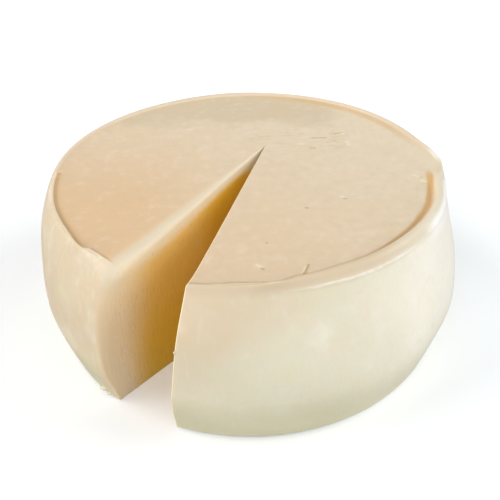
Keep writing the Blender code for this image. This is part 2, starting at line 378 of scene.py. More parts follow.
def cut_patches(cut, share, end):
    """Grids of points for one cut: the face, and the rounded edge outside it, which is a quadratic Bezier
    curve at every row of the skin's end and meets the face along its tangent plane."""
    outline = skin(np.array([share]), 0.0)[:, 0]
    height = outline[:, 2:]
    section = np.concatenate([np.linalg.norm(outline[:, :2], axis=-1, keepdims=True), height], axis=-1)
    inwards = np.minimum(section, section.max(axis=0) - EDGE_CORE) - section
    inwards /= np.maximum(np.linalg.norm(inwards, axis=1, keepdims=True), TINY)

    # The rounding is deepest at the rim and narrows to nothing at the tip
    up = np.clip(height / height[-1], 0, 1)
    away = outline[:, :2] - (1 - up) * np.array(TIP_FOOT) - up * np.array(TIP_LIP)
    distance = np.linalg.norm(away, axis=-1, keepdims=True)
    to_rim = distance[TOP_ROWS] + (distance[-TOP_ROWS - 1] - distance[TOP_ROWS]) * up
    climbed = np.clip(height / LIP_HEIGHT, 0, 1)
    half_way, at_lip = cut["depth"]
    depth = half_way + (at_lip - half_way) * climbed**GRADUALLY
    depth = depth * smooth(height / FOOT_CORNER) * distance / to_rim
    half_way, at_lip = cut["fullness"]
    fullness = half_way + (at_lip - half_way) * climbed**NEAR_THE_END
    sideways = away / np.maximum(distance, TINY) * inwards[:, :1]
    soft = softened(outline, outline, EDGE_SOFTENING * depth)
    inner = soft + depth * np.concatenate([sideways, inwards[:, 1:]], axis=-1)
    inner = softened(inner, outline, EDGE_SOFTENING * depth)
    face = filled(inner[: TOP_ROWS + 1], inner[TOP_ROWS:-TOP_ROWS], inner[-TOP_ROWS - 1 :][::-1])
    normal = border_normals(face, outline)
    outwards = soft - inner
    outwards -= normal * (outwards * normal).sum(axis=-1, keepdims=True)
    corner = inner + outwards * fullness
    bend = np.linspace(0, 1, EDGE_STEPS + 1)[:, None, None]
    edge = (1 - bend) ** 2 * end + 2 * bend * (1 - bend) * corner + bend**2 * inner
    return edge, face


right_edge, right_face = cut_patches(RIGHT_CUT, 0, whole_skin[:, 0])
left_edge, left_face = cut_patches(LEFT_CUT, 1, whole_skin[:, -1])
print("A cut's edge and face:", left_edge.shape[:2], left_face.shape[:2], "points")


# %% [markdown]
# ## Marks that the finish will need
# The paint must know where it is on the cheese. Three numbers per point say that: how far the point lies
# from the crease, measured along the skin, how far it belongs to a cut, and how deep inside the cut's
# outline it lies. They are stored in the mesh as attributes, which follow the surface wherever it goes.
# %% Measure along the skin and into the cuts
def from_crease(grid):
    """For each point of the skin, the length along its column from the crease, less than 0 on the top: the
    running sum of the distances between neighbours."""
    steps = np.linalg.norm(np.diff(grid, axis=0), axis=-1)
    length = np.concatenate([np.zeros((1, grid.shape[1])), np.cumsum(steps, axis=0)])
    return length[-PLATE_STEPS - 1] - length


def inside_outline(grid, outline):
    """For each point of a grid, its distance from the nearest point of an outline, all pairs at once."""
    apart = grid[:, :, None] - outline[None, None]
    return np.sqrt((apart**2).sum(axis=-1).min(axis=-1))


skin_along = from_crease(whole_skin)
print("From the crease to the base's edge:", round(1000 * skin_along[TOP_ROWS].mean(), 1), "mm")

# %% [markdown]
# ## One closed mesh
# The five grids share their borders, so their doubled points are merged. After that the mesh is closed,
# Blender can turn every face outwards, and the smooth shading runs across the joins. Only edges that are
# sharper than a soft cheese can be rounded are kept sharp.
# %% Helpers for welding
WELD_GAP = 1e-6
SLIVER = 1e-7


def grid_faces(rows, columns, first):
    """Quads between the neighbours of a grid whose points are numbered row by row from first."""
    corner = first + np.arange(rows - 1)[:, None] * columns + np.arange(columns - 1)
    return np.stack([corner, corner + 1, corner + columns + 1, corner + columns], axis=-1).reshape(-1, 4)


def weld(name, grids, marks):
    """A mesh of several grids, with named numbers for each of their points, welded and turned outwards."""
    faces, first = [], 0
    for grid in grids:
        faces.append(grid_faces(*grid.shape[:2], first))
        first += grid.shape[0] * grid.shape[1]
    mesh = bpy.data.meshes.new(name)
    mesh.from_pydata(np.concatenate([grid.reshape(-1, 3) for grid in grids]), [], np.concatenate(faces))
    for mark, values in marks.items():
        layer = mesh.attributes.new(mark, "FLOAT", "POINT")
        layer.data.foreach_set("value", np.concatenate([value.ravel() for value in values]))
    welded = bmesh.new()
    welded.from_mesh(mesh)
    bmesh.ops.remove_doubles(welded, verts=welded.verts, dist=WELD_GAP)
    bmesh.ops.dissolve_degenerate(welded, edges=welded.edges, dist=SLIVER)
    bmesh.ops.recalc_face_normals(welded, faces=welded.faces)
    open_edges = sum(not edge.is_manifold for edge in welded.edges)
    welded.to_mesh(mesh)
    welded.free()
    print("Welded", len(mesh.polygons), "faces;", open_edges, "open edges")
    return mesh


def placed(name, data):
    """A new object in the scene, which shows a mesh, a lamp or a camera."""
    thing = bpy.data.objects.new(name, data)
    bpy.context.scene.collection.objects.link(thing)
    return thing


print("Points closer than", 1000 * WELD_GAP, "mm become one")


# %% [markdown]
# The skin itself isn't part of any cut. Across a cut's edge the marks change smoothly, so that the colours of
# rind and paste will run into each other there.
# %% Weld the wheel
def cut_marks(edge, face, along):
    """The marks of a cut's edge and face: the skin's length carries on, the edge turns into the cut by a
    smooth share of the way across it, and both lie inside the outline of the upper rim."""
    across = smooth(np.linspace(0, 1, len(edge)))[:, None]
    rim = edge[0][TOP_ROWS + CORNER_STEPS :]
    return {
        "along": [np.broadcast_to(along, edge.shape[:2]), np.zeros(face.shape[:2])],
        "cut": [np.broadcast_to(across, edge.shape[:2]), np.ones(face.shape[:2])],
        "inside": [inside_outline(edge, rim), inside_outline(face, rim)],
    }


right_marks = cut_marks(right_edge, right_face, skin_along[:, 0])
left_marks = cut_marks(left_edge, left_face, skin_along[:, -1])
nothing = np.zeros(whole_skin.shape[:2])
marks = {
    name: [on_skin] + right_marks[name] + left_marks[name]
    for name, on_skin in (("along", skin_along), ("cut", nothing), ("inside", nothing))
}
grids = [whole_skin, right_edge, right_face, left_edge, left_face]
cheese_mesh = weld("wheel_of_cheese", grids, marks)
cheese = placed("wheel_of_cheese", cheese_mesh)

# %% [markdown]
# ## Relief
# Cloth, handling and the knife leave low relief. Relief as real geometry bends the outline and the
# highlights, which a bump texture can't do. Each relief is a height in metres, added along the surface's
# normal. The waves are sums of sines with mixed directions, so they don't repeat visibly.
# %% Waves, bells and slopes
def waves(points, lengths, seed):
    """A sum of sines in mixed directions, one for each wavelength in metres, of size about 1."""
    chance = np.random.default_rng(seed)
    total = np.zeros(len(points))
    for length in lengths:
        direction = chance.normal(size=3)
        direction *= 2 * pi / length / np.linalg.norm(direction)
        total += np.sin(points @ direction + chance.uniform(0, 2 * pi))
    return total / np.sqrt(len(lengths))


def bell(value, middle, width):
    """1 at the middle, falling off as a bell curve."""
    return np.exp(-(((value - middle) / width) ** 2))


def rising(value, low, high):
    """0 below low and 1 above high, smooth between; with high under low it falls instead."""
    return smooth((value - low) / (high - low))


print("A wave at three points:", waves(np.eye(3), (0.5,), seed=3).round(2))

# %% [markdown]
# The side has slow waves, for the cloth never lies quite flat. The top has lower ones. Where the cloth was
# folded over the shoulder it left a fine, uneven ridge, and the knife left drag marks that run up and down
# the cut faces. Each kind of relief has a mask, so that it ends softly where its part of the wheel ends.
# %% The heights of the relief
WAVE_HEIGHT = 0.00016
WAVE_LENGTHS = (0.045, 0.038, 0.031, 0.026, 0.022, 0.019)
TOP_WAVE_HEIGHT = 0.00010
TOP_WAVE_LENGTHS = (0.050, 0.034, 0.026, 0.019, 0.015, 0.012)
TOP_LEVEL = 0.03  # what lies above this height and inside the crease is the top, not the base
RIDGE_LEVEL = 0.0592  # above the base
RIDGE_WIDTH = 0.0007
RIDGE = (
    (-104, 0.0), (-86, 0.0001), (-74, 0.0002), (-64, 0.0004), (-58, 0.0003), (-50, 0.0004),
    (-38, 0.00015), (-30, 0.00045), (-16, 0.0004), (8, 0.0001), (40, 0.0), (220, 0.0),
)
RIDGE_UNEVENNESS = 0.35
RIDGE_LENGTHS = (0.013, 0.009, 0.006)
DRAG_HEIGHT = 0.000012
DRAG_LENGTHS = (0.006, 0.0047, 0.0038, 0.0031, 0.0026)
DRAG_STRETCH = (1, 1, 0.16)  # a drag mark is about six times as long as it is wide
DOWN_THE_SIDE = (0.004, 0.012)  # the side's waves set in between these lengths down from the crease,
UP_THE_SIDE = (0.0, 0.006)  # and between these heights
INTO_THE_TOP = (-0.002, -0.012)  # the top's waves set in between these lengths inside the crease
BELOW_THE_LIP = (0.002, 0.004)  # the ridge sets in between these lengths down from the crease


def relief(points, along, cut):
    """Heights of all low relief: slow waves on the side, a ridge on the shoulder, waves on the top and drag
    marks of the knife, each within its own mask."""
    azimuth = np.degrees(np.arctan2(points[:, 1], points[:, 0]))
    height = points[:, 2]
    side = rising(along, *DOWN_THE_SIDE) * rising(height, *UP_THE_SIDE) * (1 - cut)
    top = rising(along, *INTO_THE_TOP) * (1 - cut) * (height > TOP_LEVEL)
    rise = side * WAVE_HEIGHT * waves(points, WAVE_LENGTHS, seed=3)
    rise += top * TOP_WAVE_HEIGHT * waves(points, TOP_WAVE_LENGTHS, seed=5)
    ridge = bell(height, RIDGE_LEVEL, RIDGE_WIDTH) * rising(along, *BELOW_THE_LIP) * (1 - cut)
    uneven = 1 + RIDGE_UNEVENNESS * waves(points, RIDGE_LENGTHS, seed=8)
    rise += ridge * around(azimuth, RIDGE) * uneven
    rise += DRAG_HEIGHT * waves(points * np.array(DRAG_STRETCH), DRAG_LENGTHS, seed=13) * cut
    return rise


print("The ridge is highest at the azimuth", max(RIDGE, key=lambda knot: knot[1])[0])

# %% [markdown]
# The points are moved as one array. The base stays flat, because the cheese stands on it.
# %% Raise the relief
FLAT_BASE = 1e-5
SHARP_ANGLE = 20  # degrees; edges that bend by more than this stay sharp
count = len(cheese_mesh.vertices)
points = np.empty(count * 3)
cheese_mesh.vertices.foreach_get("co", points)
points = points.reshape(-1, 3)
normals = np.empty(count * 3)
cheese_mesh.vertex_normals.foreach_get("vector", normals)
marked = {name: np.empty(count) for name in ("along", "cut")}
for name, values in marked.items():
    cheese_mesh.attributes[name].data.foreach_get("value", values)
rise = relief(points, marked["along"], marked["cut"]) * (points[:, 2] > FLAT_BASE)
cheese_mesh.vertices.foreach_set("co", (points + rise[:, None] * normals.reshape(-1, 3)).ravel())
cheese_mesh.shade_smooth()
cheese_mesh.set_sharp_from_angle(angle=np.radians(SHARP_ANGLE))
print("Relief from", round(1e6 * rise.min()), "to", round(1e6 * rise.max()), "micrometres")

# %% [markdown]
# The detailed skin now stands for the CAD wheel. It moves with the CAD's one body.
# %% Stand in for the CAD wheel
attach(cheese, "root")
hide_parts("cheese_wheel")
print("The skin replaces the CAD wheel")

# %% [markdown]
# ## Crumbs
# The knife pushed a few crumbs out of its way, and they stick to the edges of the cuts. No two are alike, so
# each is a ball whose radius swells and dips with the same kind of waves as the relief, and which is longer
# on one axis than on another. They have dried like the rind, so their marks give them its colours.
# %% Roll the crumbs
CRUMBS = (  # its middle, its radius and how much longer or shorter it is on each axis
    ((-0.0505, -0.0521, 0.0026), 0.0013, (1.3, 0.9, 0.8)),
    ((-0.0486, -0.0532, 0.0014), 0.0009, (1.2, 0.9, 0.8)),
    ((-0.0222, -0.0734, 0.0396), 0.0006, (1.0, 0.8, 1.2)),
)
CRUMB_RINGS, CRUMB_SPOKES = 12, 18
CRUMB_SWELL = 0.2
CRUMB_LENGTHS = (2.4, 1.7, 1.1, 0.8)  # of the waves, in radii of the crumb
RIND_MARKS = {"along": 0.03, "cut": 0.0, "inside": 0.0}


def crumb(middle, radius, lengths, seed):
    """A grid round a ball from pole to pole, its directions scaled on each axis and swollen by waves."""
    tilt = np.linspace(0, pi, CRUMB_RINGS + 1)[:, None]
    turn = np.linspace(0, 2 * pi, CRUMB_SPOKES + 1)[None]
    out = [np.sin(tilt) * np.cos(turn), np.sin(tilt) * np.sin(turn), np.cos(tilt) + 0 * turn]
    out = np.stack(out, axis=-1)
    swell = 1 + CRUMB_SWELL * waves(out.reshape(-1, 3), CRUMB_LENGTHS, seed).reshape(*out.shape[:2], 1)
    return np.array(middle) + radius * np.array(lengths) * swell * out


crumb_grids = [crumb(*sizes, seed) for seed, sizes in enumerate(CRUMBS, start=41)]
crumb_marks = {
    name: [np.full(grid.shape[:2], value) for grid in crumb_grids] for name, value in RIND_MARKS.items()
}
crumb_mesh = weld("crumbs_of_cheese", crumb_grids, crumb_marks)
crumb_mesh.shade_smooth()
crumbs = placed("crumbs_of_cheese", crumb_mesh)
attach(crumbs, "root")
print("Rolled", len(CRUMBS), "crumbs")

# %% [markdown]
# ## Writing a finish as sums
# A finish is a network of nodes. Written out node by node it is long and hard to follow, so a small class
# wraps a node's output and turns ordinary arithmetic on it into Math nodes. `1 - mask` then reads as what
# it is.


# %% A wire of the node tree
class Wire:
    """One output socket of a node tree. Arithmetic on it adds a Math node and gives that node's output."""

    def __init__(self, tree, socket=None):
        self.tree = tree
        self.socket = socket

    def node(self, kind, settings=None, inputs=None, output=0):
        """Adds a node: its settings first, then a plain value or a linked wire for each input."""
        node = self.tree.nodes.new("ShaderNode" + kind)
        for name, value in (settings or {}).items():
            setattr(node, name, value)
        for place, value in (inputs or {}).items():
            if isinstance(value, Wire):
                self.tree.links.new(value.socket, node.inputs[place])
            else:
                node.inputs[place].default_value = value
        return Wire(self.tree, node.outputs[output] if len(node.outputs) else None)

    def math(self, operation, first, second=0.0):
        return self.node("Math", {"operation": operation}, {0: first, 1: second})

    def __add__(self, other):
        return self.math("ADD", self, other)

    def __sub__(self, other):
        return self.math("SUBTRACT", self, other)

    def __rsub__(self, other):
        return self.math("SUBTRACT", other, self)

    def __mul__(self, other):
        return self.math("MULTIPLY", self, other)

    def __truediv__(self, other):
        return self.math("DIVIDE", self, other)

    __radd__ = __add__
    __rmul__ = __mul__

    def step(self, low, high):
        """0 below low and 1 above high, smooth between; with high under low it falls instead."""
        return self.node("MapRange", {"interpolation_type": "SMOOTHSTEP"}, {0: self, 1: low, 2: high})

    def band(self, start, full, still_full, end):
        """A stripe: it rises from start to full, and falls from still full to end."""
        return self.step(start, full) * self.step(end, still_full)

    def larger(self, other):
        return self.math("MAXIMUM", self, other)

    def smaller(self, other):
        return self.math("MINIMUM", self, other)

    def size(self):
        """The value without its sign."""
        return self.math("ABSOLUTE", self)


print("Wires can be added, subtracted, multiplied, divided, stepped and banded")


# %% [markdown]
# Colours and vectors get nodes of their own, because a Math node would turn them grey. A finish is then
# built up as a painter does it, in coats that each have a colour and a mask.
# %% Helpers for colours
def mixed(share, first, second):
    """The first colour where share is 0 and the second where it is 1; either may be a plain colour."""
    first, second = ((*coat, 1.0) if isinstance(coat, tuple) else coat for coat in (first, second))
    return share.node("Mix", {"data_type": "RGBA"}, {0: share, 6: first, 7: second}, output=2)


def painted(colour, *coats):
    """A colour with coats on it, one over the other. Each coat is its share, or mask, and its own colour."""
    for share, coat in coats:
        colour = mixed(share, colour, coat)
    return colour


def blank_sheet(owner):
    """A first wire on the emptied node tree of a material or a world."""
    owner.use_nodes = True
    owner.node_tree.nodes.clear()
    return Wire(owner.node_tree)


print("A colour takes any number of coats")

# %% [markdown]
# ## The finish of the cheese
# One material covers the wheel, since rind and paste are the same cheese. The rind of a young minas padrao
# is a thin, dried skin: ivory on the side and more buttery on the top, which dried longest. The cut shows
# moist paste, cream at the outside. Deep in the notch light only arrives after several bounces between two
# buttery walls, and each bounce takes more blue from it, so that shade is painted into the paste as amber.
# %% Start the material
paint = bpy.data.materials.new("young_cheese")
sheet = blank_sheet(paint)
tree = paint.node_tree
place = sheet.node("TexCoord", output="Object")
x, y, z = (sheet.node("SeparateXYZ", inputs={0: place}, output=axis) for axis in "XYZ")
along, cut, inside = (
    sheet.node("Attribute", {"attribute_name": mark}, output="Fac") for mark in ("along", "cut", "inside")
)
radius = sheet.math("SQRT", x * x + y * y)
print("The finish reads the place and the three marks of the surface")


# %% [markdown]
# ### Noise and strokes
# Soft blotches come from noise at several sizes. `noise` centres it on 0, so that adding it doesn't change
# the average. A `stroke` is a mark between two points of the surface: its mask is 1 on the line between
# them and falls to 0 at the given width.
# %% Helpers of the finish
def noise(size, detail=2.0, stretch=(1, 1, 1), seed=0.0):
    """Noise with blotches of a size in metres, about -0.5 to 0.5; stretch lengthens them along an axis."""
    scale = tuple(1 / (size * times) for times in stretch)
    mapped = sheet.node("Mapping", inputs={0: place, "Location": (seed, seed, seed), "Scale": scale})
    blotches = sheet.node("TexNoise", inputs={"Vector": mapped, "Scale": 1.0, "Detail": detail})
    return blotches - 0.5


def stroke(start, end, width):
    """The mask of a straight mark: 1 on the line from start to end, 0 from width away, both in metres. The
    nearest point of the line is its start plus the clamped share that the dot product gives."""
    start, end = np.array(start), np.array(end)
    line = end - start

    def vector(operation, first, second, output=0):
        return sheet.node("VectorMath", {"operation": operation}, {0: first, 1: second}, output)

    from_start = vector("SUBTRACT", place, tuple(start))
    dotted = vector("DOT_PRODUCT", from_start, tuple(line / (line @ line)), "Value")
    share = dotted.larger(0.0).smaller(1.0)
    scaled = sheet.node("VectorMath", {"operation": "SCALE"}, {0: tuple(line), "Scale": share})
    return vector("DISTANCE", from_start, scaled, "Value").step(width, 0.0)


print("The finish has", len(tree.nodes), "nodes before its first colour")

# %% [markdown]
# ### Colours of the side
# The base colours are those of the cheese in even white light, but for a painted sheen: the side is painted
# paler towards the lights at the right front and lower down, and palest at the right. It is greener towards
# the foot, where whey stood in the cloth. Near the notch it has dried to the colour of butter, and a few
# pinker blotches show where the rind is thinnest. Soft clouds of ivory and whey lie over all of it.
# %% Mix the colours of the side
DRIED = (0.71, 0.585, 0.41)
SHEEN_PALE = (0.75, 0.715, 0.565)
IVORY = (0.93, 0.90, 0.80)
WHEY = (0.73, 0.70, 0.48)
PALE_WHEY = (0.87, 0.84, 0.62)
BLUSH = (0.79, 0.67, 0.53)

to_right = x / radius
towards_light = (x * 0.90 - y * 0.43) / radius
# Painted sheen: paler towards the lights at the right front, and lower down
painted_sheen = (towards_light + z.step(0.060, 0.020) * 0.45 + noise(0.016, seed=3.0) * 0.35).step(0.20, 0.85)
# More painted sheen, palest at the right
right_sheen = (to_right + noise(0.02, seed=4.0) * 0.2).step(0.35, 1.0)
clouds = noise(0.019, detail=3.0, seed=26.0)
whey = (z + noise(0.016, seed=8.0) * 0.014).step(0.030, 0.006)
whey = whey * (0.4 + (y / radius).step(0.2, -0.6) * 0.4)
side = painted(
    mixed(painted_sheen, DRIED, SHEEN_PALE),
    (noise(0.009, seed=11.0).step(0.02, 0.22) * 0.35, BLUSH),
    (right_sheen, IVORY),
    (clouds.step(0.02, 0.25) * 0.45, IVORY),
    (clouds.step(-0.02, -0.25) * 0.35, WHEY),
    (whey, mixed(to_right.step(0.3, 0.7), WHEY, PALE_WHEY)),
)
print("The side mixes", len(tree.nodes), "nodes")

# %% [markdown]
# Close to, the rind is mottled. Towards the left, where it was handled most, it also shows upright threads
# from the cloth and small pores. The right stays calmer, and `calmer` holds all three back there.
# %% Add the fine marks of the side
mottled = noise(0.0035, detail=4.0, seed=16.0)
pored = noise(0.0007, detail=1.0, stretch=(1, 1, 3), seed=34.0)
threads = noise(0.0022, detail=2.0, stretch=(1, 1, 8), seed=19.0)
calmer = 1 - x.step(-0.045, -0.020) * 0.7
side = painted(
    side,
    (mottled.step(0.0, 0.30) * calmer * 0.5, DRIED),
    (mottled.step(0.0, -0.30) * calmer * 0.3, BLUSH),
    (threads.step(0.05, 0.30) * calmer * 0.6, WHEY),
    (threads.step(-0.05, -0.30) * calmer * 0.3, IVORY),
    (pored.step(0.0, 0.30) * calmer * 0.45, DRIED),
)
print("With its fine marks,", len(tree.nodes), "nodes")

# %% [markdown]
# ### Colours of the top
# The top dried longest. It is buttery, and near the left cut it is painted yellower, a painted warm shade
# such as a piece lying over it would cast. A band at the back is greyer. Blotches and specks break it up.
# %% Mix the colours of the top
BUTTER = (0.70, 0.545, 0.37)
PALE_BUTTER = (0.705, 0.605, 0.445)
WARM_SHADE = (0.70, 0.49, 0.28)
GREYER_BUTTER = (0.61, 0.50, 0.34)
SPECK = (0.50, 0.36, 0.22)

towards_back = (x * 0.70 + y * 0.55) / 0.06
pale = (towards_back + noise(0.012, seed=12.0) * 0.6).step(-0.6, 0.9)
# Darker and greyer in a band towards the back
grey_back_band = (y + noise(0.014, detail=4.0, seed=15.0) * 0.032).step(0.036, 0.048) * x.step(0.046, 0.026)
# Painted warm shade near the left cut
warm_shade = x.step(-0.005, -0.042) * y.step(0.030, -0.024)
speckled = noise(0.0016, detail=1.0, seed=17.0).step(0.25, 0.31) * noise(0.02, seed=18.0).step(-0.1, 0.2)
plate = painted(
    mixed(pale, BUTTER, PALE_BUTTER),
    (noise(0.007, seed=14.0).step(0.05, 0.25) * 0.3, BLUSH),
    (grey_back_band * 0.95, GREYER_BUTTER),
    (warm_shade * 0.9, WARM_SHADE),
    (mottled.step(0.0, 0.30) * 0.45, GREYER_BUTTER),
    (mottled.step(0.0, -0.30) * 0.4, BLUSH),
    (speckled * 0.35, SPECK),
)
print("With the top,", len(tree.nodes), "nodes")

# %% [markdown]
# ### Lip and shoulder
# The lip has dried as the top has, and its inner edge is painted a little lighter, a painted highlight. The
# shoulder below it gets a painted white highlight on the ridge that the folded cloth rubbed, in a thin stripe
# in front and a broad patch at the right. The azimuth, in radians, says where each stripe begins and ends.
# %% Mix the colours of the lip
LIP_BUTTER = (0.63, 0.52, 0.37)
LIP_CREAM = (0.68, 0.625, 0.48)
HIGHLIGHT_CREAM = (0.86, 0.76, 0.60)
LIP_BEHIND = (0.71, 0.58, 0.43)
HIGHLIGHT_WHITE = (0.98, 0.96, 0.91)

azimuth = sheet.math("ARCTAN2", y, x)
on_top = z.step(0.03, 0.04)
in_front = azimuth.band(-2.0, -1.9, 0.0, 0.15)
faded = 1 - along.step(0.001, 0.0045) * to_right.step(0.55, 0.85) * 0.2
lip_in_front = (z + mottled * 0.001).step(0.0575, 0.0610) * in_front * faded
lip_behind = along.step(0.0040, 0.0020) * azimuth.step(0.05, 0.25) * on_top
# A painted highlight along the lip's inner edge
lit_lip = along.band(0.0001, 0.0004, 0.0007, 0.0014) * azimuth.step(-2.0, -2.1) * 0.8
lit_lip = lit_lip.larger(along.band(0.0003, 0.0006, 0.0008, 0.0013) * azimuth.step(-1.40, -1.50))
# A painted white highlight on the shoulder's ridge, and a broad one at the right
ridge = (z - 0.0593 + noise(0.010, seed=21.0) * 0.0012).size().step(0.0006, 0.0002)
ridge = ridge * noise(0.007, seed=22.0).step(-0.30, 0.12) * along.step(0.002, 0.004)
ridge = ridge * azimuth.band(-1.50, -1.10, -0.86, -0.64)
highlight_patch = along.band(0.0042, 0.0064, 0.0102, 0.0132) * azimuth.band(-0.66, -0.50, -0.15, 0.05)
shoulder_highlight = (ridge * 0.65).larger(highlight_patch) * (1 - cut)
surface = painted(
    side,
    (lip_in_front, mixed(to_right.step(0.45, 1.0), LIP_BUTTER, LIP_CREAM)),
    (lip_behind, LIP_BEHIND),
    (lit_lip * on_top * 0.7, HIGHLIGHT_CREAM),
    (along.step(0.0003, -0.0002) * on_top, plate),
    (shoulder_highlight * 0.9, HIGHLIGHT_WHITE),
)
print("With the lip,", len(tree.nodes), "nodes")

# %% [markdown]
# ### Step and crease
# The step below the lip is thin and shaded, so it is painted amber at the right, a painted shade, which thins
# to a line in front, with a peach-coloured painted highlight outside it. Behind and at the left, the painted
# amber shade fills the crease alone, and in front a painted brown shade line runs along the crease.
# %% Mix the colours of the step
PEACH = (0.86, 0.66, 0.45)
AMBER_STEP = (0.66, 0.415, 0.18)
CREASE_BROWN = (0.48, 0.31, 0.14)

# Painted shade in the step and the crease, and a painted highlight just outside the step
step_middle = 0.0635 + azimuth.step(-0.19, -0.42) * 0.0007 + azimuth.step(-0.80, -1.30) * 0.0010
step_width = 0.0007 + azimuth.step(-1.10, -0.56) * 0.0014 - azimuth.step(-0.52, -0.30) * 0.0004
from_step = (radius - step_middle + noise(0.006, seed=23.0) * 0.0012).size()
amber_step = (from_step / step_width).step(1.0, 0.3) * azimuth.band(-1.40, -0.70, -0.12, 0.0)
thin_line = (along - 0.0009 + noise(0.006, seed=24.0) * 0.0006).size().step(0.0008, 0.0002)
thin_line = thin_line * azimuth.band(-1.50, -1.00, -0.50, -0.20) * 0.45
behind = along.band(-0.0034, -0.0014, -0.0005, 0.0005) * azimuth.band(0.15, 0.55, 1.1, 1.7) * 0.55
at_left = along.step(-0.0030, -0.0002) * along.step(0.0003, 0.0) * azimuth.step(-2.30, -2.45) * 0.6
crease_shade = amber_step.larger(thin_line).larger(behind).larger(at_left)
peach_highlight = (radius - step_middle - 0.0018).size().step(0.0014, 0.0004)
peach_highlight = peach_highlight * azimuth.step(-0.62, -0.28) * azimuth.step(0.02, -0.10)
crease_line = (along + 0.0003).size().step(0.0013, 0.0003) * azimuth.step(-0.35, -0.60)
crease_line = crease_line * noise(0.005, seed=25.0).step(-0.35, 0.0)
surface = painted(
    surface,
    (peach_highlight * on_top * 0.5, PEACH),
    (crease_shade * on_top * (1 - cut), AMBER_STEP),
    (crease_line * on_top * (1 - cut) * 0.50, CREASE_BROWN),
)
print("With the step,", len(tree.nodes), "nodes")

# %% [markdown]
# ### Marks of handling
# A short crack, two small bumps and a few nicks near the front, and a patch of wrinkles towards the back.
# Each nick or raised edge is a stroke between two points on the top, and the wrinkles are the lines where a
# noise, lengthened from side to side, passes through 0. The raised edges are painted lighter, a painted
# highlight, and the crack and nicks are painted brown, partly painted shade in and beside them; the
# wrinkles take a paler brown.
# %% Mix the marks
NICKS = (  # start, end and width of each stroke
    ((0.0174, -0.0578, 0.0605), (0.0157, -0.0638, 0.0613), 0.0007),
    ((0.0159, -0.0629, 0.0612), (0.0157, -0.0638, 0.0613), 0.0014),
    ((0.0295, -0.0617, 0.0614), (0.0297, -0.0618, 0.0614), 0.0006),
    ((0.0034, -0.0594, 0.0603), (0.0040, -0.0599, 0.0603), 0.0007),
    ((0.0185, -0.0251, 0.0597), (0.0192, -0.0254, 0.0597), 0.0006),
    ((0.0318, -0.0196, 0.0599), (0.0325, -0.0200, 0.0599), 0.0007),
    ((0.0600, -0.0070, 0.0603), (0.0617, -0.0068, 0.0603), 0.0008),
    ((0.0051, -0.0456, 0.0598), (0.0053, -0.0457, 0.0598), 0.0006),
    ((0.0331, 0.0295, 0.0592), (0.0362, 0.0308, 0.0592), 0.0007),
    ((0.0242, 0.0267, 0.0592), (0.0297, 0.0266, 0.0592), 0.0006),
    ((0.0229, 0.0180, 0.0592), (0.0250, 0.0181, 0.0592), 0.0006),
)
RAISED = (
    ((0.0166, -0.0585, 0.0605), (0.0151, -0.0630, 0.0612), 0.0006),
    ((0.0022, -0.0573, 0.0601), (0.0034, -0.0586, 0.0603), 0.0012),
    ((0.0312, -0.0180, 0.0599), (0.0318, -0.0188, 0.0599), 0.0011),
    ((0.0580, -0.0046, 0.0602), (0.0594, -0.0060, 0.0602), 0.0013),
    ((0.0604, -0.0088, 0.0603), (0.0612, -0.0096, 0.0603), 0.0012),
    ((0.0189, 0.0221, 0.0591), (0.0202, 0.0221, 0.0591), 0.0009),
    ((0.0341, 0.0321, 0.0592), (0.0370, 0.0297, 0.0592), 0.0011),
    ((0.0374, 0.0234, 0.0592), (0.0379, 0.0200, 0.0592), 0.0012),
)
nicks = raised = 0.0
for start, end, width in NICKS:
    nicks = stroke(start, end, width).larger(nicks)
for start, end, width in RAISED:
    raised = stroke(start, end, width).larger(raised)
wrinkled_patch = x.band(-0.004, 0.006, 0.030, 0.042) * y.band(0.012, 0.020, 0.032, 0.042)
wrinkled = noise(0.0022, detail=2.0, stretch=(5, 1, 1), seed=31.0)
wrinkles = wrinkled.size().step(0.05, 0.0) * wrinkled_patch * noise(0.007, seed=32.0).step(-0.1, 0.1)
# Painted highlights on the raised edges; brown that is partly painted shade in the nicks
surface = painted(
    surface,
    (raised * 0.6 * on_top, HIGHLIGHT_CREAM),
    ((nicks * 0.8).larger(wrinkles * 0.30) * on_top, CREASE_BROWN),
)
print("With the marks,", len(tree.nodes), "nodes")

# %% [markdown]
# ### Colours of the cut
# Below the edge, the cream of the paste gives way to painted shade, amber and then a deeper amber, nearer the
# rim towards the foot. Fine upright streaks and pores show how the curd was pulled by the knife.
# %% Mix the colours of the paste
CREAM = (0.87, 0.73, 0.525)
AMBER_PASTE_AND_SHADE = (0.89, 0.62, 0.22)
DEEP_SHADE_AMBER = (0.81, 0.52, 0.05)
PORE = (0.62, 0.42, 0.18)

# The depth inside the outline counts for more near the tip, so that what follows it narrows there
narrowed = inside / (radius * 12.0 + 0.4).smaller(1.0)
below_edge = narrowed.step(0.006, 0.012)
into_notch = radius + noise(0.012, stretch=(1, 1, 4), seed=5.0) * 0.008
lower = z.step(0.060, 0.010)
deepest_shade = ((into_notch - lower * 0.013).step(0.058, 0.036) * lower).larger(into_notch.step(0.036, 0.012))
streaked = noise(0.0012, detail=3.0, stretch=(1, 1, 7), seed=33.0)
# The amber and the deeper amber inside the outline are painted shade; the streaks and blotches are the
# paste's own
paste = painted(
    CREAM,
    (into_notch.step(0.068, 0.051) * below_edge, AMBER_PASTE_AND_SHADE),
    (deepest_shade * below_edge, DEEP_SHADE_AMBER),
    (streaked.step(0.0, 0.35) * 0.35, AMBER_PASTE_AND_SHADE),
    (mottled.step(0.0, 0.30) * 0.35, AMBER_PASTE_AND_SHADE),
    (pored.step(0.0, 0.35) * 0.38, PORE),
)
print("With the paste,", len(tree.nodes), "nodes")

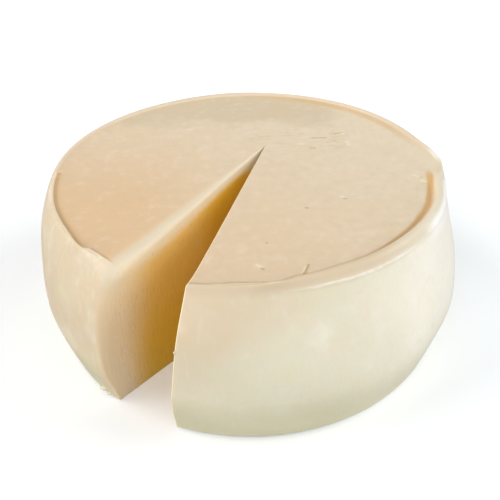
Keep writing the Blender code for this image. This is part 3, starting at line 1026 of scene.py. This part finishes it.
# %% [markdown]
# The knife's rounded edge is the palest part, for the soft paste was smeared and dried there. The smear
# narrows towards the tip of the notch. The crisp right edge is thin enough to let light through, so a bright
# line of painted light is drawn along it. Only points on that side of a plane through the notch get the line.
# %% Mix the colours of the edges
SMEARED = (0.72, 0.64, 0.49)
OUTER_CREAM = (0.80, 0.66, 0.45)
LIT_EDGE = (0.97, 0.80, 0.54)

smeared = cut.step(0.0, 0.5) * narrowed.step(0.0115, 0.0045)
lean = z / LIP_HEIGHT
from_notch = (x + 0.002 - lean * 0.008) * 0.891 - (y + 0.006 - lean * 0.027) * 0.454
# A painted bright line along the crisp right edge
lit_edge = cut.step(0.0, 0.2) * inside.step(0.0014, 0.0006) * from_notch.step(0.0, 0.002)
base_colour = painted(
    surface,
    (cut, paste),
    (smeared, mixed(z.step(0.046, 0.057), OUTER_CREAM, SMEARED)),
    (lit_edge, LIT_EDGE),
)
print("Mixed", len(tree.nodes), "nodes so far")

# %% [markdown]
# ### Surface and light
# The rind is satin, a little glossier on the side, where the cloth pressed it smooth. Light goes a few
# millimetres into fresh cheese, so some of it is scattered below the surface, which softens every edge.
# %% Join the finish to its shader
grain = noise(0.0009, detail=3.0, seed=1.0) * 0.5 + noise(0.004, seed=2.0)
grain = grain + raised * 1.5 - nicks * 1.5 + wrinkled * wrinkled_patch * 3.0 + streaked * cut
bump = sheet.node("Bump", inputs={"Strength": 0.25, "Distance": 0.0004, "Height": grain})
gloss = 0.47 + noise(0.007, seed=6.0) * 0.22 - shoulder_highlight * 0.10
shader = sheet.node(
    "BsdfPrincipled",
    {"subsurface_method": "RANDOM_WALK"},
    {
        "Base Color": base_colour,
        "Roughness": gloss,
        "Normal": bump,
        "Subsurface Weight": 0.35,
        "Subsurface Radius": (1.0, 0.7, 0.4),
        "Subsurface Scale": 0.003,
        "Specular IOR Level": 0.4,
    },
)
sheet.node("OutputMaterial", inputs={"Surface": shader})
for mesh in (cheese_mesh, crumb_mesh):
    mesh.materials.clear()
    mesh.materials.append(paint)
print("The finish has", len(tree.nodes), "nodes")

# %% [markdown]
# ## The floor
# The cheese stands on a plain white floor. One flat, round face is enough, wide enough for its edge to stay
# out of view, and marked as part of the stage so that it doesn't count as cheese.
# %% Lay the floor
FLOOR_RADIUS = 4.0
FLOOR_CORNERS = 96
floor_turn = np.linspace(0, 2 * pi, FLOOR_CORNERS, endpoint=False)
floor_points = FLOOR_RADIUS * np.stack([np.cos(floor_turn), np.sin(floor_turn), 0 * floor_turn], axis=-1)
floor_mesh = bpy.data.meshes.new("floor")
floor_mesh.from_pydata(floor_points, [], [list(range(len(floor_points)))])
floor = placed("floor", floor_mesh)
floor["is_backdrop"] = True
print("The floor is", 2 * FLOOR_RADIUS, "m across")

# %% [markdown]
# The foot of the real cheese is darker than its bulge, so little light came back up from the table. A Mix
# Shader therefore shows the camera white paper, while the light that bounces meets a grey table.
# %% Cover the floor
PAPER = (0.93, 0.96, 0.99)
BACKLIGHT = 0.12
TABLE_GREY = (0.36, 0.36, 0.37)
white = bpy.data.materials.new("white_floor")
paper = blank_sheet(white)
seen = paper.node("LightPath", output="Is Camera Ray")
grey = paper.node("BsdfDiffuse", inputs={"Color": (*TABLE_GREY, 1)})
sheet_of_paper = paper.node("BsdfDiffuse", inputs={"Color": (*PAPER, 1)})
lit_from_below = paper.node("Emission", inputs={"Color": (*PAPER, 1), "Strength": BACKLIGHT})
bright = paper.node("AddShader", inputs={0: sheet_of_paper, 1: lit_from_below})
shown = paper.node("MixShader", inputs={0: seen, 1: grey, 2: bright})
paper.node("OutputMaterial", inputs={0: shown})
floor_mesh.materials.append(white)
print("The floor's finish has", len(white.node_tree.nodes), "nodes")

# %% [markdown]
# ## Light
# The side of the cheese is as bright as its top, so the light came from low, wide soft boxes all round it
# rather than from above. Sun lamps with a wide angle do the same, and light the floor evenly. The strongest
# stand at the left, the right and the front.
# %% Hang the lights
LIGHTS = (  # name, azimuth and elevation of where it stands, strength, width in degrees, colour
    ("left_softbox", 180, 32, 1.80, 50, (1.0, 0.98, 0.95)),
    ("right_softbox", 5, 28, 1.55, 40, (1.0, 1.0, 1.0)),
    ("front_softbox", -110, 23, 1.50, 45, (1.0, 0.99, 0.97)),
    ("right_fill", -45, 16, 0.90, 50, (1.0, 1.0, 1.0)),
    ("back_fill", 100, 24, 0.60, 60, (1.0, 1.0, 1.0)),
)
for name, azimuth, elevation, strength, width, colour in LIGHTS:
    lamp = bpy.data.lights.new(name, "SUN")
    lamp.energy = strength
    lamp.angle = np.radians(width)
    lamp.color = colour
    light = placed(name, lamp)
    light.rotation_euler = (0, np.radians(90 - elevation), np.radians(azimuth))
print("Lights:", [name for name, *_ in LIGHTS])

# %% [markdown]
# The world fills the shadows faintly. Where a low view looks past the floor's edge, it shows the camera a
# white backdrop, which adds no light to the cheese.
# %% Fill the shadows
WHITE = (1, 1, 1, 1)
SKY_STRENGTH = 0.22
BACKDROP_STRENGTH = 1.0
world = bpy.data.worlds.new("studio")
bpy.context.scene.world = world
sky = blank_sheet(world)
lit = sky.node("Background", inputs={"Color": WHITE, "Strength": SKY_STRENGTH})
backdrop = sky.node("Background", inputs={"Color": WHITE, "Strength": BACKDROP_STRENGTH})
looked_at = sky.node("LightPath", output="Is Camera Ray")
both = sky.node("MixShader", inputs={0: looked_at, 1: lit, 2: backdrop})
sky.node("OutputWorld", inputs={0: both})
print("The sky gives light of strength", SKY_STRENGTH)

# %% [markdown]
# ## The camera
# The camera looks down at the wheel from just in front of it. Its place and lens give the same strong
# perspective as a close view of a real cheese.
# %% Place the camera
CAMERA_PLACE = (0.0, -0.2325, 0.19145)
CAMERA_PITCH = 35.713  # degrees below the horizon
FOCAL_PIXELS = 736.69
IMAGE_WIDTH = 500
SENSOR_WIDTH = 36.0
NEAREST = 0.01
eye = bpy.data.cameras.new("camera")
eye.sensor_width = SENSOR_WIDTH
eye.lens = FOCAL_PIXELS / IMAGE_WIDTH * eye.sensor_width
eye.clip_start = NEAREST
camera = placed("camera", eye)
camera.location = CAMERA_PLACE
camera.rotation_euler = (np.radians(90 - CAMERA_PITCH), 0, 0)
bpy.context.scene.camera = camera
bpy.context.scene.view_settings.view_transform = "Standard"
print("Lens:", round(eye.lens, 2), "mm")

# %% [markdown]
# ## The size of the dressed wheel
# The dressed cheese must stay as large as its CAD model, so its box is printed, as the CAD's was.
# %% Measure the dressed wheel
seen_low, seen_high = (list(corner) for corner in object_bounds())
seen_size = [round(1000 * (high - low), 1) for low, high in zip(seen_low, seen_high)]
print("The dressed wheel measures, in mm:", seen_size)
